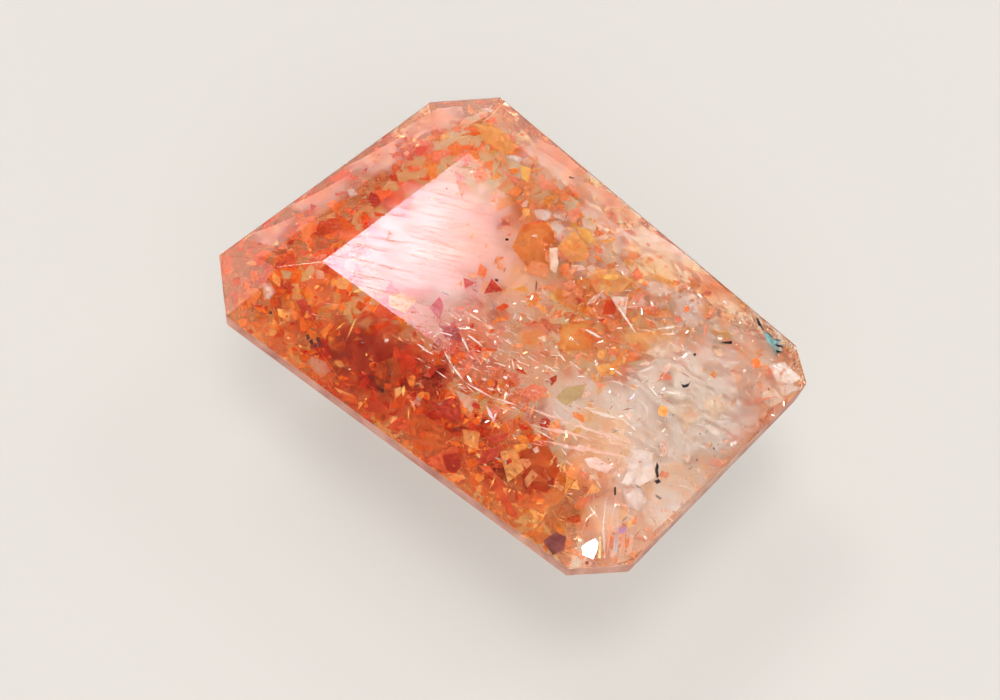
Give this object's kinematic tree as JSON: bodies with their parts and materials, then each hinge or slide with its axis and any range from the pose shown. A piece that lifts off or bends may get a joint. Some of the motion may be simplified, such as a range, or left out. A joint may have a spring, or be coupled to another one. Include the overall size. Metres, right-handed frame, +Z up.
{
  "type": "sunstone",
  "caption": "Loose faceted gemstone, a cut-cornered rectangle with a stepped crown, thin girdle, tapering pavilion and a flat culet it stands on.",
  "frame": {"origin": "middle of the footprint, at the level of the flat culet that the stone stands on", "axes": "+Z up out of the table, X along the stone's length, Y across it"},
  "size_m": [0.0114, 0.0084, 0.0046],
  "materials": {
    "sunstone": "polished clear feldspar, full of fine orange flakes"
  },
  "bodies": {
    "root": {"sunstone": "sunstone"}
  },
  "joints": []
}
